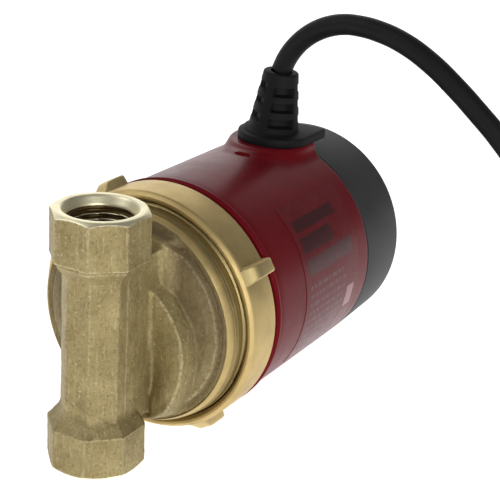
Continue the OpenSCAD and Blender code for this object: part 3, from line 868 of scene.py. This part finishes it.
def make_relief():
    mesh = Mesh()
    plate_top = BOSS_TOP + 3.2
    # boot
    segments = 180
    angle = np.arange(segments) / segments * 2 * math.pi
    rows = [(np.full(segments, 4.0), -1.0), (np.full(segments, 10.6), -1.0)]
    for t in np.linspace(0, 1, 106):
        rows.append((boot_radius(angle, np.full(segments, t)), t * BOOT_H))
    tip = boot_radius(angle, np.full(segments, 1.0))
    rows += [(tip - 0.3, BOOT_H + 0.3), (tip - 0.8, BOOT_H + 0.45),
             (np.full(segments, 3.75), BOOT_H + 0.4), (np.full(segments, 3.5), BOOT_H - 0.2),
             (np.full(segments, 3.5), BOOT_H - 3)]
    grid = np.stack([np.stack([np.cos(angle) * r, np.sin(angle) * r, np.full(segments, h)], -1)
                     for r, h in rows], 1)
    x = grid[..., 0] * math.cos(LEAN) + grid[..., 2] * math.sin(LEAN)
    z = -grid[..., 0] * math.sin(LEAN) + grid[..., 2] * math.cos(LEAN)
    grid = np.stack([x, grid[..., 1] + BOSS_ENTRY_Y, z + plate_top], -1)
    mesh.add_grid(grid, 0)
    # plate with a round front, straight sides and round rear corners
    plan = filleted(plate_corners(), 10)
    layers = [(1.1, 0), (0.25, 0.1), (0, 0.45), (0, 2.5), (0.2, 2.95), (0.75, 3.2)]
    centre = np.array([PLATE_X, BOSS_ENTRY_Y])
    grid = []
    for inset, up in layers:
        offset = plan - centre
        size = np.linalg.norm(offset, axis=1, keepdims=True)
        flat = centre + offset * (1 - inset / size)
        grid.append(np.column_stack([flat, np.full(len(flat), BOSS_TOP + up)]))
    mesh.add_grid(np.transpose(np.array(grid), (1, 0, 2)), 0, wrap_columns=False)
    mesh.build("strain_relief_boot", "pump", [RELIEF_BLACK], "black_rubber",
               ["strain_relief"], 40)


def plate_corners():
    """Plan of the strain relief's plate, anticlockwise from its right rear corner."""
    corners = [(PLATE_X + PLATE_R, PLATE_REAR, 1.0)]
    corners.append((PLATE_X - PLATE_R, PLATE_REAR, 1.0))
    for step in range(1, 30):
        turn = math.pi + math.pi * step / 30
        corners.append((PLATE_X + PLATE_R * math.cos(turn),
                        BOSS_ENTRY_Y + PLATE_R * math.sin(turn)))
    return corners


# ---------------------------------------------------------------- label and tie

def make_label():
    """Thin film with plain bars and dashes for its print."""
    low, high = math.radians(-35), math.radians(50)
    rows, columns = 170, 114
    angle = np.linspace(low, high, rows)
    along = np.linspace(LABEL_LOW[1] + 0.2, LABEL_HIGH[1] - 0.2, columns)
    grid = []
    for radius in (CAN_R + 0.13, CAN_R - 0.05):
        grid.append(np.stack(np.broadcast_arrays(
            np.cos(angle)[:, None] * radius, along[None, :],
            AXIS_Z + np.sin(angle)[:, None] * radius), -1))
    top, bottom = grid
    faces = grid_faces(rows, columns, False, False)
    u = (np.arange(rows - 1) + 0.5) / (rows - 1)
    v = (np.arange(columns - 1) + 0.5) / (columns - 1)
    number = label_print(*np.meshgrid(u, v, indexing="ij")).reshape(-1)
    mesh = Mesh()
    mesh.add(top, faces, number)
    mesh.add(bottom, faces[:, ::-1], 0)
    count = rows * columns
    edge = np.concatenate([np.arange(columns), np.arange(1, rows) * columns + columns - 1,
                           (rows - 1) * columns + np.arange(columns - 2, -1, -1),
                           np.arange(rows - 2, 0, -1) * columns])
    after = np.roll(edge, -1)
    mesh.faces += np.stack([edge, after, after + count, edge + count], -1).tolist()
    mesh.numbers.append(np.zeros(len(edge), int))
    film = Look("label_film", Specular_IOR_Level=0.18, Specular_Tint=(1, 0.15, 0.17, 1))
    film.to("Base Color", film.ramp(film.noise(15, 2), [(0.3, (0.11, 0.011, 0.014)),
                                                         (0.7, (0.13, 0.014, 0.018))]))
    film.to("Roughness", film.remap(film.noise(5, 3), 0.3, 0.7, 0.24, 0.32))
    film.bump(film.noise(8, 2), 0.02, 0.3)
    inks = [film.material]
    for name, colour in (("label_dark_print", (0.035, 0.004, 0.005)),
                         ("label_grey_print", (0.07, 0.02, 0.023)),
                         ("label_pale_print", (0.3, 0.15, 0.16))):
        ink = Look(name, Specular_IOR_Level=0.45, Specular_Tint=(1, 0.4, 0.42, 1))
        ink.to("Base Color", ink.ramp(ink.noise(3, 2), [(0.3, colour),
                                                       (0.7, tuple(c * 1.15 for c in colour))]))
        ink.to("Roughness", ink.remap(ink.noise(2, 2), 0.3, 0.7, 0.28, 0.36))
        inks.append(ink.material)
    mesh.build("label_print", "pump", inks, "label_film", ["rating_label"], 60)


FILM, DARK, GREY, PALE = range(4)


def label_print(u, v):
    """Number of the ink on each face of the label."""
    ink = np.full(u.shape, FILM)
    rng = np.random.default_rng(11)
    for low, high, start, stop in ((0.57, 0.66, 0.08, 0.9), (0.7, 0.79, 0.08, 0.62),
                                   (0.83, 0.9, 0.08, 0.8)):
        ink[(u > low) & (u < high) & (v > start) & (v < stop)] = DARK
    for row in range(9):
        middle = 0.08 + 0.052 * row
        place = 0.08
        while place < 0.72:
            length = rng.uniform(0.03, 0.1)
            stop = min(place + length, 0.74)
            ink[(abs(u - middle) < 0.011) & (v > place) & (v < stop)] = GREY
            place += length + 0.025
    ink[(u > 0.22) & (u < 0.36) & (v > 0.8) & (v < 0.93)] = PALE
    return ink


def make_tie():
    """Flat strap round the coil."""
    mesh = Mesh()
    middle = (TIE_LOW + TIE_HIGH) / 2
    inner = (TIE_HIGH - TIE_LOW) / 2 - np.array([0, 1.0, 0])
    corners = [(-inner[1], 0.2, 2.5), (inner[1], 0.2, 2.5),
               (inner[1], TIE_HIGH[2] - 1.0, 2.5), (-inner[1], TIE_HIGH[2] - 1.0, 2.5)]
    loop = filleted(corners, 8)
    offset = filleted([(-inner[1] - 0.9, 0.0, 3.2), (inner[1] + 0.9, 0.0, 3.2),
                       (inner[1] + 0.9, TIE_HIGH[2] - 0.05, 3.2),
                       (-inner[1] - 0.9, TIE_HIGH[2] - 0.05, 3.2)], 8)
    half = 2.4
    grid = []
    for flat, x in ((loop, -half), (offset, -half), (offset, half), (loop, half)):
        grid.append(np.column_stack([np.full(len(flat), middle[0] + x),
                                     middle[1] + flat[:, 0], flat[:, 1]]))
    mesh.add_grid(np.transpose(np.array(grid), (1, 0, 2)), 0)
    return mesh.build("coil_tie", "pump", [TIE_BLACK], "tie_black", ["cord_tie"], 40)


# ---------------------------------------------------------------- plug

PLUG_LENGTH = 49.0


def make_plug():
    """Moulded mains plug: a waisted grip, finger ribs and a short tapered neck."""
    mesh = Mesh()
    middle_x = (PLUG_LOW[0] + PLUG_HIGH[0]) / 2
    middle_z = (PLUG_LOW[2] + PLUG_HIGH[2]) / 2
    half_x, half_z = (PLUG_HIGH[0] - PLUG_LOW[0]) / 2, (PLUG_HIGH[2] - PLUG_LOW[2]) / 2
    front = PLUG_LOW[1]
    segments = 96
    angle = np.arange(segments) / segments * 2 * math.pi
    length = [0, 0.05, 0.4, 1.2, 2.5, 4, 6, 6.6, 7.0, 7.6, 9, 11]
    length += list(np.arange(12, 30, 0.5)) + [30.5, 31.5, 33, 35, 37.5]
    length += list(np.arange(38, PLUG_LENGTH, 0.5)) + [PLUG_LENGTH]
    stations = [0, 1.2, 6.4, 7.2, 10, 20, 30, 33, 36, 40, PLUG_LENGTH]
    grid = []
    for along in length:
        t = along / PLUG_LENGTH
        wide = np.interp(along, stations,
                         [half_x - 0.7, half_x, half_x, half_x - 1.4, half_x - 1.6, half_x - 2.4,
                          half_x - 3.2, 7.8, 6.6, 6.2, 4.8])
        tall = np.interp(along, stations,
                         [half_z - 0.7, half_z, half_z, half_z - 1.6, half_z - 1.8, half_z - 2.6,
                          half_z - 3.4, 7.0, 6.2, 6.0, 4.8])
        if 12 < along < 29:
            tall -= 0.35 * (0.5 + 0.5 * math.cos(along * 2 * math.pi / 3))
        if 38 < along < 48:
            dent = 0.55 * (0.5 + 0.5 * math.cos(along * 2 * math.pi / 2.5))
            wide, tall = wide - dent, tall - dent
        power = 2 + 3.2 * (1 - smoothstep((t - 0.5) / 0.25))
        cos, sin = np.cos(angle), np.sin(angle)
        reach = (np.abs(cos / wide) ** power + np.abs(sin / tall) ** power) ** (-1 / power)
        grid.append(np.stack([middle_x + cos * reach, np.full(segments, front + along),
                              middle_z + sin * reach], -1))
    mesh.add_grid(np.transpose(np.array(grid), (1, 0, 2)), 0, wrap_columns=False)
    return mesh.build("plug_grip", "pump", [CORD_BLACK], "cord_black", ["plug_body"], 40)


# ---------------------------------------------------------------- inner parts

def dress_inner_parts():
    """Materials for the CAD nodes that stay as they are."""
    steel = metal("stainless", (0.62, 0.63, 0.64), 0.3)
    zinc = metal("screw_steel", (0.66, 0.66, 0.64), 0.35)
    plug_brass = metal("plug_brass", (0.8, 0.66, 0.36), 0.28)
    looks = {
        "housing_o_ring": moulded("black_rubber", (0.02, 0.02, 0.02), 0.7),
        "end_cap_gasket": moulded("gasket_rubber", (0.006, 0.006, 0.006), 0.8),
        "separator_cup": steel, "bearing_post": steel,
        "bearing_ball": moulded("ball_ceramic", (0.8, 0.78, 0.72), 0.15, 0.2, 0.003),
        "bearing_race": moulded("race_carbon", (0.06, 0.06, 0.065), 0.35),
        "rotor_magnet": metal("magnet", (0.16, 0.16, 0.175), 0.45),
        "rotor_core": metal("iron", (0.4, 0.41, 0.43), 0.4),
        "stator_core": metal("lamination_steel", (0.36, 0.37, 0.39), 0.42),
        "impeller": moulded("impeller_plastic", (0.72, 0.68, 0.58), 0.4),
        "impeller_shroud": moulded("shroud_plastic", (0.72, 0.68, 0.58), 0.4),
        "stator_coils": metal("copper", (0.66, 0.26, 0.1), 0.32, size=0.3, depth=0.05),
        "coil_bobbins": moulded("bobbin_plastic", (0.7, 0.67, 0.55), 0.5),
        "board_carrier": moulded("carrier_plastic", (0.66, 0.63, 0.52), 0.5),
        "control_board": moulded("board", (0.02, 0.12, 0.05), 0.4, 1.2, 0.02, 0.8),
        "board_capacitor": moulded("capacitor_sleeve", (0.03, 0.035, 0.06), 0.3),
        "board_choke": metal("choke_copper", (0.6, 0.25, 0.1), 0.35, size=0.4, depth=0.05),
        "board_chips": moulded("chip", (0.015, 0.015, 0.016), 0.5),
        "terminal_block": moulded("terminal_plastic", (0.62, 0.62, 0.58), 0.45),
        "board_screws": zinc,
        "lead_live": moulded("lead_brown", (0.12, 0.045, 0.018), 0.4),
        "lead_neutral": moulded("lead_blue", (0.02, 0.08, 0.35), 0.4),
        "lead_ground": moulded("lead_green", (0.1, 0.3, 0.04), 0.4),
        "plug_blades": plug_brass, "plug_ground_pin": plug_brass,
    }
    for name, material in looks.items():
        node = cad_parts[name]
        node.data.materials.clear()
        node.data.materials.append(material)


# ---------------------------------------------------------------- studio

def area_light(name, place, aim, size, power):
    data = bpy.data.lights.new(name, "AREA")
    data.shape, data.size, data.size_y, data.energy = "RECTANGLE", size[0], size[1], power
    light = bpy.data.objects.new(name, data)
    light.location = place
    light.rotation_euler = (Vector(aim) - Vector(place)).to_track_quat("-Z", "Y").to_euler()
    bpy.context.scene.collection.objects.link(light)


def make_floor():
    mesh = bpy.data.meshes.new("floor")
    half = 4.0
    mesh.from_pydata([(-half, -half, 0), (half, -half, 0), (half, half, 0), (-half, half, 0)],
                     [], [(0, 1, 2, 3)])
    look = Look("floor", Roughness=0.9, Specular_IOR_Level=0.1)
    look.to("Base Color", look.ramp(look.noise(400, 2), [(0.3, (0.6, 0.6, 0.6)),
                                                         (0.7, (0.62, 0.62, 0.62))]))
    look.shader.inputs["Emission Color"].default_value = (1, 1, 1, 1)
    look.shader.inputs["Emission Strength"].default_value = 0.93
    mesh.materials.append(look.material)
    floor = bpy.data.objects.new("floor", mesh)
    floor.location.z = min(0.0, cad_box[0][2]) - 0.0001
    bpy.context.scene.collection.objects.link(floor)


def make_world():
    """Pale surroundings, brightest behind the pump on its left."""
    world = bpy.data.worlds.new("studio")
    bpy.context.scene.world = world
    world.use_nodes = True
    nodes, links = world.node_tree.nodes, world.node_tree.links
    place = nodes.new("ShaderNodeTexCoord").outputs["Generated"]
    toward = nodes.new("ShaderNodeVectorMath")
    toward.operation = "DOT_PRODUCT"
    toward.inputs[1].default_value = (-0.63, 0.77, 0.12)
    links.new(place, toward.inputs[0])
    glow = nodes.new("ShaderNodeMapRange")
    glow.interpolation_type = "SMOOTHSTEP"
    for socket, value in (("From Min", 0.55), ("From Max", 0.98), ("To Min", 0.2), ("To Max", 1.5)):
        glow.inputs[socket].default_value = value
    links.new(toward.outputs["Value"], glow.inputs["Value"])
    links.new(glow.outputs["Result"], nodes["Background"].inputs["Strength"])
    nodes["Background"].inputs["Color"].default_value = (1, 1, 1, 1)


def make_studio():
    make_floor()
    make_world()
    area_light("key", (-0.9, -0.7, 1.3), (0, 0.05, 0.04), (0.9, 0.9), 6)
    area_light("fill", (1.3, -1.1, 0.6), (0, 0.05, 0.04), (0.9, 0.9), 13)
    bpy.context.scene.view_settings.view_transform = "Standard"


tie = make_tie()
plug = make_plug()
make_cord()
make_housing()
make_nut()
make_can()
make_cap()
make_relief()
make_label()
dress_inner_parts()
make_studio()
